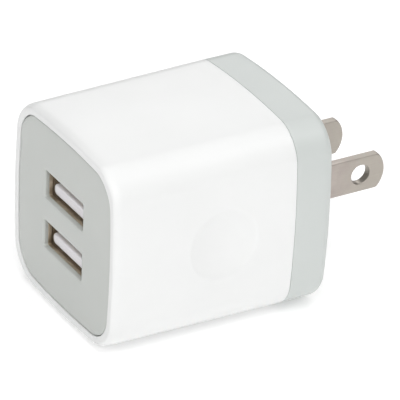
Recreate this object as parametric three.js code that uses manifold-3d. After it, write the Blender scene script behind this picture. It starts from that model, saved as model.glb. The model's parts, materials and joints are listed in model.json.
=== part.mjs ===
// Two-port USB wall charger: a squarish box with two fixed flat blades at the back and two
// USB-A sockets at the front. Millimetres, +Z up. The origin is the middle of the rear face, which
// lies against the wall; the blades point along +Y and the sockets open towards -Y.

import * as THREE from 'three';
import { mergeVertices } from 'three/addons/utils/BufferGeometryUtils.js';
import Module from 'manifold-3d';

const wasm = await Module();
wasm.setup();

// ---- Driving dimensions ---------------------------------------------------------------------

const GAP = 0.3;                 // clearance between a piece and its neighbour
const SEAM = 0.2;                // open line between the sleeve and the rear cap

const BODY_LENGTH = 40;
const BODY_SIDE = 34.5;          // width and height at the rear
const BODY_TAPER = 0.8;          // how much narrower and lower the front is
const BODY_CORNER = 4.9;
const SIDE_BOW = 1.04;           // how far the middle of a side stands out past its corners
const FRONT_EDGE = { inset: 0.63, depth: 1.95 };
const REAR_EDGE = { inset: 1.19, depth: 1.45 };

const WALL = 1.75;
const CAP_LENGTH = 7;
const CAP_WALL = 2.2;
const SPIGOT = { length: 2.5, wall: 1.0 };

const PLATE_SIDE = 30.1;
const PLATE_CORNER = 4.5;
const PLATE_BOW = 0.8;
const PLATE_THICK = 0.9;
const PLATE_SINK = 0.15;         // the plate's face lies this far behind the rim
const PLATE_GAP = 0.2;
const LEDGE_SIDE = 26.6;
const LEDGE_BACK = 2.2;          // how far behind the front rim the ledge ends
const SKIRT = { side: 26.0, wall: 1.2, length: 1.9, corner: 3.2 };

const DIMPLE = { radius: 6.25, depth: 0.7 };

const BLADE = { height: 6.35, thick: 1.45, length: 16.5, spacing: 12.7, tipRadius: 4.5 };
const BLADE_HOLE = { diameter: 3.5, fromRearFace: 11.9 };
const BLADE_ROOT = { wide: 5.6, tabHeight: 4, tab: 9.2 };  // how far the full width and the tab reach in
const HOLDER = { width: 20, height: 11, corner: 1.5 };
const BLADE_CONTACT = { thick: 0.5, foot: 1.2, bend: -5, grip: 2, lip: 0.7 };

const PORT_OPENING = { width: 12.5, height: 4.85, corner: 0.45 };
const PORT_PITCH = 9.1;
const PORT_MIDDLE = -0.15;       // height of the middle of the pair
const PORT_SIDE = -0.3;          // the sockets stand this far off the plate's middle
const SHELL = { width: 12.5, height: 5.12, sheet: 0.3, length: 13.2 };
const TONGUE = { width: 11.1, thick: 1.84, corner: 0.4, below: 0.85, front: 1.4 };
const SOCKET_BASE = { length: 2.6, inset: 0.3 };
const CONTACT = { width: 1.0, thick: 0.2, front: 3.1 };
const GROOVE = { width: 1.4, height: 0.8, lift: 0.1 };
const CONTACT_HOLE = { width: 1.6, height: 0.8 };
const SHELL_TAB = { reach: 2, height: 2 };
const TAB_HOLE = { width: 0.9, height: 2.6 };
const CONTACT_PLACES = [-3.5, -1.0, 1.0, 3.5];

const BOARD = { thick: 1.6, top: -11, width: 27, front: -36.4, step: -9.8, tail: 23.4, rear: -5.8 };
const PORT_BOARD = { thick: 1.2, width: 14.6, top: 9.6 };
const SHEET = { width: 18, length: 26, thick: 0.4, middle: -23, height: -13.9 };

// The transformer, from its own middle: an E-shaped core, its former and the winding
const CORE = { half: 8, height: 7.6, back: 2.4, leg: 2.4, centreHalf: 2, depth: 5, airGap: 0.3 };
const FORMER = { tube: [6, 7, 9.4], bore: [4.6, 5.6], flange: [10.4, 10.6, 0.8], rail: [10.4, 2, 3.4] };
const WINDING = { outer: [9.8, 10, 1.6], inner: [6.6, 7.6, 0.6], height: 7.6 };

// Diameter and height of the cans and the choke, and size of the two chips
const MAIN_CAN = [10, 17];
const FILTER_CAN = [6.3, 12];
const OUTPUT_CAN = [6.3, 11];
const CHOKE = { radius: 2.8, height: 6.5, flange: 1, waist: 0.7 };
const RECTIFIER_CHIP = { length: 5, width: 4, height: 2.2, leads: 2 };
const CONTROL_CHIP = { length: 5, width: 4, height: 1.5, leads: 4 };

// Where each component stands on the board, in X and Y
const PLACES = {
  transformer: [5.2, -17.7],
  mainCan: [-8.6, -17.2],
  filterCan: [-10.4, -31.5],
  outputCanFront: [10.4, -33.2],
  outputCanRear: [10.4, -26.6],
  choke: [-11, -25],
  resistor: [0, -9.6],
  disc: [10.6, -10.75],
  rectifier: [-3.6, -32.6],
  control: [3.8, -32.6],
};

// Where the main stations lie along Y
const FRONT = -BODY_LENGTH;
const SEAM_AT = -CAP_LENGTH;
const PLATE_FACE = FRONT + PLATE_SINK;
const SHELL_FRONT = PLATE_FACE + PLATE_THICK + GAP;
const PORT_BOARD_FRONT = SHELL_FRONT + SHELL.length + GAP;
const ON_BOARD = BOARD.top + GAP;

// ---- Materials ------------------------------------------------------------------------------

const finish = (color, roughness, metalness = 0) => (
  new THREE.MeshStandardMaterial({ color, roughness, metalness })
);

const whiteShell = finish(0xf3f4f2, 0.35);
const paleGrey = finish(0xd2d6d4, 0.45);
const bladeMetal = finish(0xb9b0a4, 0.32, 1);
const socketSteel = finish(0x8f877c, 0.35, 1);
const socketPlastic = finish(0xe6e3e4, 0.5);
const gilt = finish(0xd8b25a, 0.3, 1);
const brass = finish(0xc9a860, 0.4, 1);
const boardGreen = finish(0x2f6b3c, 0.6);
const ferrite = finish(0x35353a, 0.8);
const copper = finish(0xb87333, 0.45, 1);
const tapeYellow = finish(0xd9b32b, 0.6);
const blackEpoxy = finish(0x202022, 0.6);
const capSleeve = finish(0x23355c, 0.5);
const canMetal = finish(0xbfc2c5, 0.35, 1);
const discBlue = finish(0x2b6aa8, 0.45);
const bodyBeige = finish(0xc9ad7c, 0.6);
const sheetWhite = finish(0xefeee8, 0.6);

// ---- Geometry helpers -----------------------------------------------------------------------

/** The closed mesh as a solid that can be joined and cut. */
function solid(geometry) {
  const bare = geometry.clone();
  bare.deleteAttribute('normal');
  bare.deleteAttribute('uv');
  const merged = mergeVertices(bare, 1e-5);
  const vertProperties = new Float32Array(merged.attributes.position.array);
  const triVerts = new Uint32Array(merged.index.array);
  return new wasm.Manifold(new wasm.Mesh({ numProp: 3, vertProperties, triVerts }));
}

/** The solid's surface as a three.js geometry. */
function surface(body) {
  const { vertProperties, triVerts } = body.getMesh();
  const geometry = new THREE.BufferGeometry();
  geometry.setAttribute('position', new THREE.BufferAttribute(vertProperties, 3));
  geometry.setIndex(new THREE.BufferAttribute(triVerts, 1));
  geometry.computeVertexNormals();
  return geometry;
}

const join = (first, ...others) => (
  surface(others.reduce((body, other) => body.add(solid(other)), solid(first)))
);
const cut = (first, ...tools) => (
  surface(tools.reduce((body, tool) => body.subtract(solid(tool)), solid(first)))
);

/** A rounded square outline in X and Z whose sides bow outwards, as a ring of points. */
function outline(side, corner, bow) {
  const cornerSteps = 5;
  const sideSteps = 5;
  const half = side / 2 - bow;
  const reach = half - corner;
  const points = [];
  for (let quarter = 0; quarter < 4; quarter += 1) {
    const start = quarter * Math.PI / 2;
    for (let i = 0; i < sideSteps; i += 1) {
      const along = reach * (2 * i / sideSteps - 1);
      points.push(new THREE.Vector2(half, along).rotateAround(new THREE.Vector2(), start));
    }
    for (let i = 0; i < cornerSteps; i += 1) {
      const angle = i / cornerSteps * Math.PI / 2;
      const turned = new THREE.Vector2(reach + corner * Math.cos(angle), reach + corner * Math.sin(angle));
      points.push(turned.rotateAround(new THREE.Vector2(), start));
    }
  }
  const bulge = (across) => 1 + bow / half * (1 - (across / half) ** 2);
  return points.map(({ x, y }) => new THREE.Vector2(x * bulge(y), y * bulge(x)));
}

/** A closed body through outlines at rising Y, with flat ends. */
function loft(sections) {
  const count = sections[0].ring.length;
  const positions = sections.flatMap(({ y, ring }) => ring.flatMap((p) => [p.x, y, p.y]));
  const index = [];
  for (let s = 0; s + 1 < sections.length; s += 1) {
    for (let i = 0; i < count; i += 1) {
      const here = s * count + i;
      const next = s * count + (i + 1) % count;
      index.push(here, here + count, next, next, here + count, next + count);
    }
  }
  const last = (sections.length - 1) * count;
  for (let i = 1; i + 1 < count; i += 1) {
    index.push(0, i, i + 1, last, last + i + 1, last + i);
  }
  const geometry = new THREE.BufferGeometry();
  geometry.setAttribute('position', new THREE.Float32BufferAttribute(positions, 3));
  geometry.setIndex(index);
  return geometry;
}

/** A straight body of one bowed outline between two stations. */
const prism = (side, corner, bow, from, to) => (
  loft([from, to].map((y) => ({ y, ring: outline(side, corner, bow) })))
);

/** The body's width at a station along Y. */
const bodySide = (y) => BODY_SIDE - BODY_TAPER * Math.max(0, (SEAM_AT - y) / (BODY_LENGTH - CAP_LENGTH));

/** The body's section at a station, drawn in by an inset on every side. */
function bodySection(y, inset = 0) {
  return { y, ring: outline(bodySide(y) - 2 * inset, BODY_CORNER - inset, SIDE_BOW) };
}

/** Sections of a rounded edge, from the end face (angle 0) to the full section. */
function roundedEdge(end, inward, edge) {
  const steps = 4;
  return Array.from({ length: steps + 1 }, (_, i) => {
    const angle = i / steps * Math.PI / 2;
    const y = end + inward * edge.depth * (1 - Math.cos(angle));
    return bodySection(y, edge.inset * (1 - Math.sin(angle)));
  });
}

const box = (width, depth, height, x = 0, y = 0, z = 0) => (
  new THREE.BoxGeometry(width, depth, height).translate(x, y, z)
);

/** A flat shape drawn in X and Z, thickened along Y from one station to another. */
function slab(shape, from, to) {
  const depth = to - from;
  const geometry = new THREE.ExtrudeGeometry(shape, { depth, bevelEnabled: false, curveSegments: 4 });
  return geometry.rotateX(Math.PI / 2).translate(0, to, 0);
}

/** A flat shape drawn in Y and Z, thickened along X about x = 0. */
function side(shape, thick, curveSegments = 6) {
  const geometry = new THREE.ExtrudeGeometry(shape, { depth: thick, bevelEnabled: false, curveSegments });
  const turn = new THREE.Matrix4().makeBasis(
    new THREE.Vector3(0, 1, 0),
    new THREE.Vector3(0, 0, 1),
    new THREE.Vector3(1, 0, 0),
  );
  return geometry.translate(0, 0, -thick / 2).applyMatrix4(turn);
}

function roundedRectangle(width, height, corner) {
  const x = width / 2 - corner;
  const y = height / 2 - corner;
  const shape = new THREE.Shape();
  shape.absarc(x, y, corner, 0, Math.PI / 2);
  shape.absarc(-x, y, corner, Math.PI / 2, Math.PI);
  shape.absarc(-x, -y, corner, Math.PI, 1.5 * Math.PI);
  shape.absarc(x, -y, corner, 1.5 * Math.PI, 2 * Math.PI);
  return shape;
}

/** A strip of even thickness along a bent centre line. */
function strip(places, thick) {
  const line = places.map(([x, y]) => new THREE.Vector2(x, y));
  const edge = (reach) => line.map((point, i) => {
    const before = line[Math.max(i - 1, 0)];
    const after = line[Math.min(i + 1, line.length - 1)];
    const way = after.clone().sub(before).normalize();
    return new THREE.Vector2(-way.y, way.x).multiplyScalar(reach).add(point);
  });
  return new THREE.Shape([...edge(-thick / 2), ...edge(thick / 2).reverse()]);
}

/** A turned body standing on the board, from radius and height pairs. */
function turned(profile, segments = 18) {
  const points = profile.map(([radius, height]) => new THREE.Vector2(radius, height));
  return new THREE.LatheGeometry(points, segments).rotateX(Math.PI / 2);
}

const parts = new THREE.Group();

/** Names a mesh, gives it its material and puts it in its place. */
function place(name, geometry, material, position = [0, 0, 0], owner = parts) {
  const mesh = new THREE.Mesh(geometry, material);
  mesh.name = name;
  mesh.position.set(...position);
  owner.add(mesh);
  return mesh;
}

// ---- Casing ---------------------------------------------------------------------------------

/** The white sleeve: tapered, rounded at the front, with a ledge for the plate and two thumb dishes. */
function sleeve() {
  const outside = loft([...roundedEdge(FRONT, 1, FRONT_EDGE), bodySection(SEAM_AT)]);
  const ledgeBack = FRONT + LEDGE_BACK;
  const cavity = loft([bodySection(ledgeBack, WALL), bodySection(SEAM_AT + 1, WALL)]);
  const pocketBack = PLATE_FACE + PLATE_THICK + PLATE_GAP;
  const pocket = prism(PLATE_SIDE + 2 * PLATE_GAP, PLATE_CORNER, PLATE_BOW, FRONT - 1, pocketBack);
  const ledge = prism(LEDGE_SIDE, PLATE_CORNER - 1, PLATE_BOW, FRONT, ledgeBack + 1);
  const middle = -BODY_LENGTH / 2;
  const across = bodySide(middle) / 2;
  const dishes = [1, -1].map((way) => thumbDish().rotateZ(way * -Math.PI / 2)
    .translate(way * across, middle, 0));
  return cut(outside, cavity, pocket, ledge, ...dishes);
}

/** A shallow spherical dish cutter whose axis is Y, with its rim at y = 0. */
function thumbDish() {
  const { radius, depth } = DIMPLE;
  const ball = (radius ** 2 + depth ** 2) / (2 * depth);
  const rings = 4;
  const cap = Array.from({ length: rings + 1 }, (_, i) => {
    const out = radius * i / rings;
    return new THREE.Vector2(out, ball - depth - Math.sqrt(ball ** 2 - out ** 2));
  });
  return new THREE.LatheGeometry([...cap, new THREE.Vector2(radius + 1, 1), new THREE.Vector2(0, 1)], 28);
}

/** The grey plate with both socket openings and a skirt that plugs into the ledge. */
function frontPlate() {
  const back = PLATE_FACE + PLATE_THICK;
  const face = prism(PLATE_SIDE, PLATE_CORNER, PLATE_BOW, PLATE_FACE, back);
  const skirt = prism(SKIRT.side, SKIRT.corner, PLATE_BOW, back - GAP, back + SKIRT.length);
  const inside = SKIRT.side - 2 * SKIRT.wall;
  const hollow = prism(inside, SKIRT.corner - SKIRT.wall, PLATE_BOW, back, back + SKIRT.length + 1);
  const opening = roundedRectangle(PORT_OPENING.width, PORT_OPENING.height, PORT_OPENING.corner);
  const openings = portHeights().map((z) => (
    slab(opening, PLATE_FACE - 1, back + 1).translate(PORT_SIDE, 0, z)
  ));
  return cut(join(face, skirt), hollow, ...openings);
}

function portHeights() {
  return [1, -1].map((way) => PORT_MIDDLE + way * PORT_PITCH / 2);
}

/** The grey rear cap: a band, the wall that faces the socket outlet, and a spigot inside the sleeve. */
function rearCap() {
  const front = SEAM_AT + SEAM;
  const band = loft([bodySection(front), ...roundedEdge(0, -1, REAR_EDGE).reverse()]);
  const spigotInset = WALL + GAP;
  const spigotFront = front - SPIGOT.length;
  const spigot = loft([bodySection(spigotFront, spigotInset), bodySection(front + 1, spigotInset)]);
  const hollowInset = spigotInset + SPIGOT.wall;
  const hollow = loft([bodySection(spigotFront - 1, hollowInset), bodySection(-CAP_WALL, hollowInset)]);
  const slots = bladePlaces().map((x) => (
    box(BLADE.thick + 2 * GAP, 3 * CAP_WALL, BLADE.height + 2 * GAP, x, 0, 0)
  ));
  return cut(join(band, spigot), hollow, ...slots);
}

// ---- Mains side -----------------------------------------------------------------------------

function bladePlaces() {
  return [-BLADE.spacing / 2, BLADE.spacing / 2];
}

/** A flat mains blade with a round-nosed tip, a locking hole and a narrower tab inside. */
function blade() {
  const half = BLADE.height / 2;
  const tab = BLADE_ROOT.tabHeight / 2;
  const centre = BLADE.length - BLADE.tipRadius;
  const swing = Math.asin(half / BLADE.tipRadius);
  const shape = new THREE.Shape();
  shape.moveTo(-BLADE_ROOT.tab, -tab);
  shape.lineTo(-BLADE_ROOT.wide, -tab);
  shape.lineTo(-BLADE_ROOT.wide, -half);
  shape.absarc(centre, 0, BLADE.tipRadius, -swing, swing);
  shape.lineTo(-BLADE_ROOT.wide, half);
  shape.lineTo(-BLADE_ROOT.wide, tab);
  shape.lineTo(-BLADE_ROOT.tab, tab);
  shape.closePath();
  const hole = new THREE.Path();
  hole.absarc(BLADE_HOLE.fromRearFace, 0, BLADE_HOLE.diameter / 2, 0, 2 * Math.PI);
  shape.holes.push(hole);
  return side(shape, BLADE.thick, 12);
}

/** The insulating block behind the rear wall that keeps the two blades apart. */
function bladeHolder() {
  const [front, rear] = [-BLADE_ROOT.wide + GAP, -CAP_WALL - GAP];
  const block = slab(roundedRectangle(HOLDER.width, HOLDER.height, HOLDER.corner), front, rear);
  const slots = bladePlaces().map((x) => (
    box(BLADE.thick + 2 * GAP, CAP_WALL * 4, BLADE.height + 2 * GAP, x, front, 0)
  ));
  return cut(block, ...slots);
}

/** A bent brass strip that stands on the board and presses on one blade's tab from outside. */
function bladeContact() {
  const { thick, foot, bend, grip, lip } = BLADE_CONTACT;
  const touch = BLADE.thick / 2 + GAP + thick / 2;
  const top = grip + 2 * lip;
  const leg = [[touch + foot, ON_BOARD], [touch + foot, bend]];
  const line = [...leg, [touch, -grip], [touch, grip], [touch + lip, top]];
  return slab(strip(line, thick), -BLADE_ROOT.tab + GAP, -BLADE_ROOT.wide - GAP);
}

function mainsSide() {
  const [left, right] = bladePlaces();
  place('blade_left', blade(), bladeMetal, [left, 0, 0]);
  place('blade_right', blade(), bladeMetal, [right, 0, 0]);
  place('blade_holder', bladeHolder(), blackEpoxy);
  place('blade_contact_right', bladeContact(), brass, [right, 0, 0]);
  const turn = bladeContact().rotateZ(Math.PI);
  const span = -BLADE_ROOT.tab - BLADE_ROOT.wide;
  place('blade_contact_left', turn, brass, [left, span, 0]);
}

// ---- USB sockets ----------------------------------------------------------------------------

/** The folded steel shell: an open rectangular tube with two tabs through the port board. */
function socketShell() {
  const { width, height, sheet, length } = SHELL;
  const ring = roundedRectangle(width + 2 * sheet, height + 2 * sheet, 0.7);
  ring.holes.push(new THREE.Path(roundedRectangle(width, height, 0.4).getPoints(4)));
  const tabs = [-1, 1].map((way) => (
    box(sheet, SHELL_TAB.reach + 0.6, SHELL_TAB.height, way * (width + sheet) / 2, length + 0.7, 0)
  ));
  return join(slab(ring, 0, length), ...tabs);
}

/** The moulded base with its tongue, grooved for the four contacts. */
function socketInsulator() {
  const { width, thick, front } = TONGUE;
  const back = SHELL.length;
  const tongue = slab(roundedRectangle(width, thick, TONGUE.corner), front - GAP - PLATE_THICK, back - 1)
    .translate(0, 0, tongueMiddle());
  const { inset, length } = SOCKET_BASE;
  const base = box(SHELL.width - 2 * inset, length, SHELL.height - 2 * inset, 0, back - length / 2, 0);
  const grooves = CONTACT_PLACES.map((x) => (
    box(GROOVE.width, 2 * back, GROOVE.height, x, CONTACT.front + back, contactMiddle() + GROOVE.lift)
  ));
  return cut(join(base, tongue), ...grooves);
}

/** Heights inside the shell, from its own middle. */
function tongueMiddle() {
  return -SHELL.height / 2 + TONGUE.below + TONGUE.thick / 2;
}
function contactMiddle() {
  return tongueMiddle() + TONGUE.thick / 2;
}

/** One spring contact, bowed up near its tip and running straight back through the port board. */
function socketContact() {
  const end = SHELL.length + GAP + PORT_BOARD.thick + 0.5;
  const start = CONTACT.front + GAP;
  const line = [[start, -0.12], [start + 1.2, 0.22], [start + 3, 0], [end, 0]];
  return side(strip(line, CONTACT.thick), CONTACT.width);
}

function usbSocket(which, height) {
  const socket = new THREE.Group();
  socket.position.set(PORT_SIDE, SHELL_FRONT, height);
  parts.add(socket);
  place(`usb_shell_${which}`, socketShell(), socketSteel, [0, 0, 0], socket);
  place(`usb_insulator_${which}`, socketInsulator(), socketPlastic, [0, 0, 0], socket);
  CONTACT_PLACES.forEach((x, i) => {
    place(`usb_contact_${which}_${i + 1}`, socketContact(), gilt, [x, 0, contactMiddle()], socket);
  });
}

/** The upright board that the sockets are soldered to. */
function portBoard() {
  const { thick, width, top } = PORT_BOARD;
  const middle = PORT_BOARD_FRONT + thick / 2;
  const board = box(width, thick, top - ON_BOARD, PORT_SIDE, middle, (top + ON_BOARD) / 2);
  const through = 3 * thick;
  const holes = portHeights().flatMap((z) => [
    ...CONTACT_PLACES.map((x) => (
      box(CONTACT_HOLE.width, through, CONTACT_HOLE.height, PORT_SIDE + x, middle, z + contactMiddle())
    )),
    ...[-1, 1].map((way) => (
      box(TAB_HOLE.width, through, TAB_HOLE.height, PORT_SIDE + way * (SHELL.width + SHELL.sheet) / 2, middle, z)
    )),
  ]);
  return cut(board, ...holes);
}

// ---- Circuit --------------------------------------------------------------------------------

/** The board that carries the circuit, narrower where it runs into the rear cap. */
function mainBoard() {
  const { thick, width, front, step, tail, rear, top } = BOARD;
  const chamfer = 3;
  const half = width / 2;
  const shape = new THREE.Shape([
    new THREE.Vector2(-half + chamfer, front),
    new THREE.Vector2(half - chamfer, front),
    new THREE.Vector2(half, front + chamfer),
    new THREE.Vector2(half, step),
    new THREE.Vector2(tail / 2, step),
    new THREE.Vector2(tail / 2, rear),
    new THREE.Vector2(-tail / 2, rear),
    new THREE.Vector2(-tail / 2, step),
    new THREE.Vector2(-half, step),
    new THREE.Vector2(-half, front + chamfer),
  ]);
  return new THREE.ExtrudeGeometry(shape, { depth: thick, bevelEnabled: false })
    .translate(0, 0, top - thick);
}

/** One half of the transformer's E-shaped core, legs up, its joint face at z = 0. */
function coreHalf() {
  const { half, height, back, leg, centreHalf, depth } = CORE;
  const shape = new THREE.Shape([
    [-half, -height], [half, -height], [half, 0], [half - leg, 0], [half - leg, back - height],
    [centreHalf, back - height], [centreHalf, 0], [-centreHalf, 0], [-centreHalf, back - height],
    [leg - half, back - height], [leg - half, 0], [-half, 0],
  ].map(([x, z]) => new THREE.Vector2(x, z)));
  return slab(shape, -depth / 2, depth / 2);
}

/** The winding's former: a square tube with a flange at each end and two pin rails below. */
function formerBody() {
  const { tube, bore, flange, rail } = FORMER;
  const flangeAt = (tube[2] - flange[2]) / 2 + 0.2;
  const railAt = [(flange[1] - rail[1]) / 2, flangeAt + (flange[2] + rail[2]) / 2 - 0.2];
  const flanges = [-1, 1].map((way) => box(...flange, 0, 0, way * flangeAt));
  const rails = [-1, 1].map((way) => box(...rail, 0, way * railAt[0], -railAt[1]));
  return cut(join(box(...tube), ...flanges, ...rails), box(...bore, 2 * tube[2]));
}

/** A round-cornered ring lying flat, such as the copper winding. */
function flatRing(outer, inner, height) {
  const ring = roundedRectangle(...outer);
  ring.holes.push(new THREE.Path(roundedRectangle(...inner).getPoints(4)));
  return new THREE.ExtrudeGeometry(ring, { depth: height, bevelEnabled: false, curveSegments: 4 })
    .translate(0, 0, -height / 2);
}

function transformer([x, y]) {
  const group = new THREE.Group();
  const gapHalf = CORE.airGap / 2;
  group.position.set(x, y, ON_BOARD + CORE.height + gapHalf + GAP);
  parts.add(group);
  place('transformer_core_lower', coreHalf(), ferrite, [0, 0, -gapHalf], group);
  place('transformer_core_upper', coreHalf().rotateY(Math.PI), ferrite, [0, 0, gapHalf], group);
  place('transformer_former', formerBody(), blackEpoxy, [0, 0, 0], group);
  const winding = flatRing(WINDING.outer, WINDING.inner, WINDING.height);
  place('transformer_winding', winding, tapeYellow, [0, 0, 0], group);
}

/** An aluminium can in a plastic sleeve, with the crimp groove near its foot. */
function canCapacitor([diameter, height]) {
  const radius = diameter / 2;
  const groove = radius - 0.35;
  return turned([
    [0, 0], [radius - 0.3, 0], [radius, 0.4], [radius, 1.2], [groove, 1.6], [radius, 2],
    [radius, height - 0.4], [radius - 0.5, height], [0, height],
  ]);
}

/** A drum choke: two flanges with the wire between them. */
function drumChoke() {
  const { radius, height, flange, waist } = CHOKE;
  return turned([
    [0, 0], [radius, 0], [radius, flange], [radius - waist, flange],
    [radius - waist, height - flange], [radius, height - flange], [radius, height], [0, height],
  ]);
}

/** A resistor lying along X, its leads bent down to the board. */
function fusibleResistor() {
  const body = new THREE.LatheGeometry([
    [0, -4], [1.3, -4], [1.7, -3.3], [1.4, -2.4], [1.4, 2.4], [1.7, 3.3], [1.3, 4], [0, 4],
  ].map(([radius, along]) => new THREE.Vector2(radius, along)), 16).rotateZ(Math.PI / 2);
  const leads = [-1, 1].flatMap((way) => [
    box(1.6, 0.6, 0.6, way * 4.4, 0, 0),
    box(0.6, 0.6, 3.2, way * 4.9, 0, -1.3),
  ]);
  return join(body, ...leads);
}

/** A dipped disc capacitor standing on its two legs. */
function discCapacitor() {
  const disc = new THREE.LatheGeometry([
    [0, -1.4], [2.2, -1.3], [2.8, -0.5], [2.8, 0.5], [2.2, 1.3], [0, 1.4],
  ].map(([radius, along]) => new THREE.Vector2(radius, along)), 20);
  const legs = [-1, 1].map((way) => box(0.6, 0.6, 4, way * 1.8, 0, -3.6));
  return join(disc, ...legs);
}

/** A moulded chip with its row of leads on two sides. */
function chip({ length, width, height, leads }) {
  const body = box(length, width, height, 0, 0, height / 2 + 0.3);
  const pitch = length / leads;
  const feet = [-1, 1].flatMap((way) => Array.from({ length: leads }, (_, i) => (
    box(0.5, 1.6, 0.5, pitch * (i + 0.5) - length / 2, way * width / 2, 0.35)
  )));
  return join(body, ...feet);
}

/** Stands a component on the board at its place, lifted by its own reach below its middle. */
function stand(name, geometry, material, [x, y], lift = 0) {
  place(name, geometry, material, [x, y, ON_BOARD + lift]);
}

function circuit() {
  place('main_board', mainBoard(), boardGreen);
  place('port_board', portBoard(), boardGreen);
  const sheet = box(SHEET.width, SHEET.length, SHEET.thick);
  place('board_insulator', sheet, sheetWhite, [0, SHEET.middle, SHEET.height]);
  transformer(PLACES.transformer);
  stand('input_capacitor_main', canCapacitor(MAIN_CAN), capSleeve, PLACES.mainCan);
  stand('input_capacitor_filter', canCapacitor(FILTER_CAN), capSleeve, PLACES.filterCan);
  stand('output_capacitor_front', canCapacitor(OUTPUT_CAN), canMetal, PLACES.outputCanFront);
  stand('output_capacitor_rear', canCapacitor(OUTPUT_CAN), canMetal, PLACES.outputCanRear);
  stand('input_choke', drumChoke(), copper, PLACES.choke);
  stand('fusible_resistor', fusibleResistor(), bodyBeige, PLACES.resistor, 2.9);
  stand('safety_capacitor', discCapacitor(), discBlue, PLACES.disc, 5.6);
  stand('bridge_rectifier', chip(RECTIFIER_CHIP), blackEpoxy, PLACES.rectifier);
  stand('control_chip', chip(CONTROL_CHIP), blackEpoxy, PLACES.control);
}

// ---- Assembly -------------------------------------------------------------------------------

place('main_housing', sleeve(), whiteShell);
place('front_plate', frontPlate(), paleGrey);
place('rear_cap', rearCap(), paleGrey);
mainsSide();
const [upper, lower] = portHeights();
usbSocket('upper', upper);
usbSocket('lower', lower);
circuit();

export default parts;
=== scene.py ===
"""A two-port USB wall charger.

It has a bowed white sleeve, a pale grey socket plate in front, a grey end cap and two flat blades.
The charger lies along Y, with its sockets towards -Y and its wall face at Y = 0.
"""

import json
import math

import bmesh
import bpy
import numpy as np
from mathutils import Matrix, Vector


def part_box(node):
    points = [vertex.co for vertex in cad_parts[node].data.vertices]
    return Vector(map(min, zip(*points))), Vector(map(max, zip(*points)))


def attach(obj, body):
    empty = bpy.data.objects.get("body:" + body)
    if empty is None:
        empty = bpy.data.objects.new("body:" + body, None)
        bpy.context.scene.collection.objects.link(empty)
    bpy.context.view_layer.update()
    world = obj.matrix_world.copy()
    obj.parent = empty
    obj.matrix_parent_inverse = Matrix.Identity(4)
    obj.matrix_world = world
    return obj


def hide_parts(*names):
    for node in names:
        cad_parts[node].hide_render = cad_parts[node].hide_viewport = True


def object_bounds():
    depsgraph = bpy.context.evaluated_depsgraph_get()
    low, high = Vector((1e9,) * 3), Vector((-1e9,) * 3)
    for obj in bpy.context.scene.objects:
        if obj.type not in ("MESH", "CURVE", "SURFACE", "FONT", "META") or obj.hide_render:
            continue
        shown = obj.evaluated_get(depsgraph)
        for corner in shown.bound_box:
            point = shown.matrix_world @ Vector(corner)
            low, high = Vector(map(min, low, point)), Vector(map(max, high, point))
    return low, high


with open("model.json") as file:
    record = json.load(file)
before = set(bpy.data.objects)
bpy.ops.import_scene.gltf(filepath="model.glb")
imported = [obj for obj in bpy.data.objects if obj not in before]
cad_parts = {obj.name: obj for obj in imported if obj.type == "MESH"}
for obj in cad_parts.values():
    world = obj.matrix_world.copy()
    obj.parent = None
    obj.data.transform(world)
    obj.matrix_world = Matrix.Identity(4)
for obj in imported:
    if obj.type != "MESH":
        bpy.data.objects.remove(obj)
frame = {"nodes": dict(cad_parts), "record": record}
cad_low, cad_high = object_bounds()

MM = 0.001

# ---- Sizes, taken from the frame where it has them ------------------------------------------

sleeve_low, sleeve_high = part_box("main_housing")
shell_boxes = [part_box(node) for node in ("usb_shell_upper", "usb_shell_lower")]
shell_low, shell_high = shell_boxes[0]

FRONT = sleeve_low.y                       # the sleeve's front rim
REAR = 0.0                                 # the face that lies against the wall
MIDDLE = FRONT / 2
BODY_SIDE = sleeve_high.x - sleeve_low.x   # at the seam, where the sleeve is widest
BODY_TAPER = 0.8 * MM                      # how much narrower the body is at the front rim
BODY_CORNER = 4.9 * MM
SIDE_BOW = 1.04 * MM                       # how far the middle of a side stands out past its corners
CORNER_SHRINK = 0.25                       # how fast the corner tightens with the inset
BOW_SHRINK = 0.15                          # how fast the bow flattens with it
SLEEVE_END = sleeve_high.y
SEAM = 0.05 * MM                           # the open line between sleeve and cap
WALL = 1.75 * MM
CAP_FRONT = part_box("rear_cap")[0].y        # the end of the spigot that goes inside the sleeve
CAP_WALL = 2.2 * MM
FRONT_EDGE = (0.63 * MM, 1.95 * MM)        # inset and depth of the rounded front edge
REAR_EDGE = (1.19 * MM, 1.45 * MM)         # and of the rounded rear edge
PLATE_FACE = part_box("front_plate")[0].y
PLATE_BACK = PLATE_FACE + 0.9 * MM
PLATE_INSET = 1.72 * MM                    # from the side of the body to the edge of the plate
POCKET_INSET = 1.6 * MM
DISH_RADIUS = 6.25 * MM
DISH_DEPTH = 0.7 * MM
CRISP = 0.08 * MM                          # the softening of a moulding's crisp outer edges
EASED = 0.1 * MM                           # and of its hidden ones

PORT_SIDE = (shell_low.x + shell_high.x) / 2
PORT_HEIGHTS = [(low.z + high.z) / 2 for low, high in shell_boxes]
PORT_WIDTH = 12.5 * MM
PORT_HEIGHT = 4.85 * MM
PORT_CORNER = 0.35 * MM
LEAD_IN = (0.65 * MM, 0.06 * MM)           # width and depth of the slope round each opening
LEAD_IN_STRETCH = 1.4                      # it is this much wider at the sides


# ---- Node trees written as arithmetic -------------------------------------------------------


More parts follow.
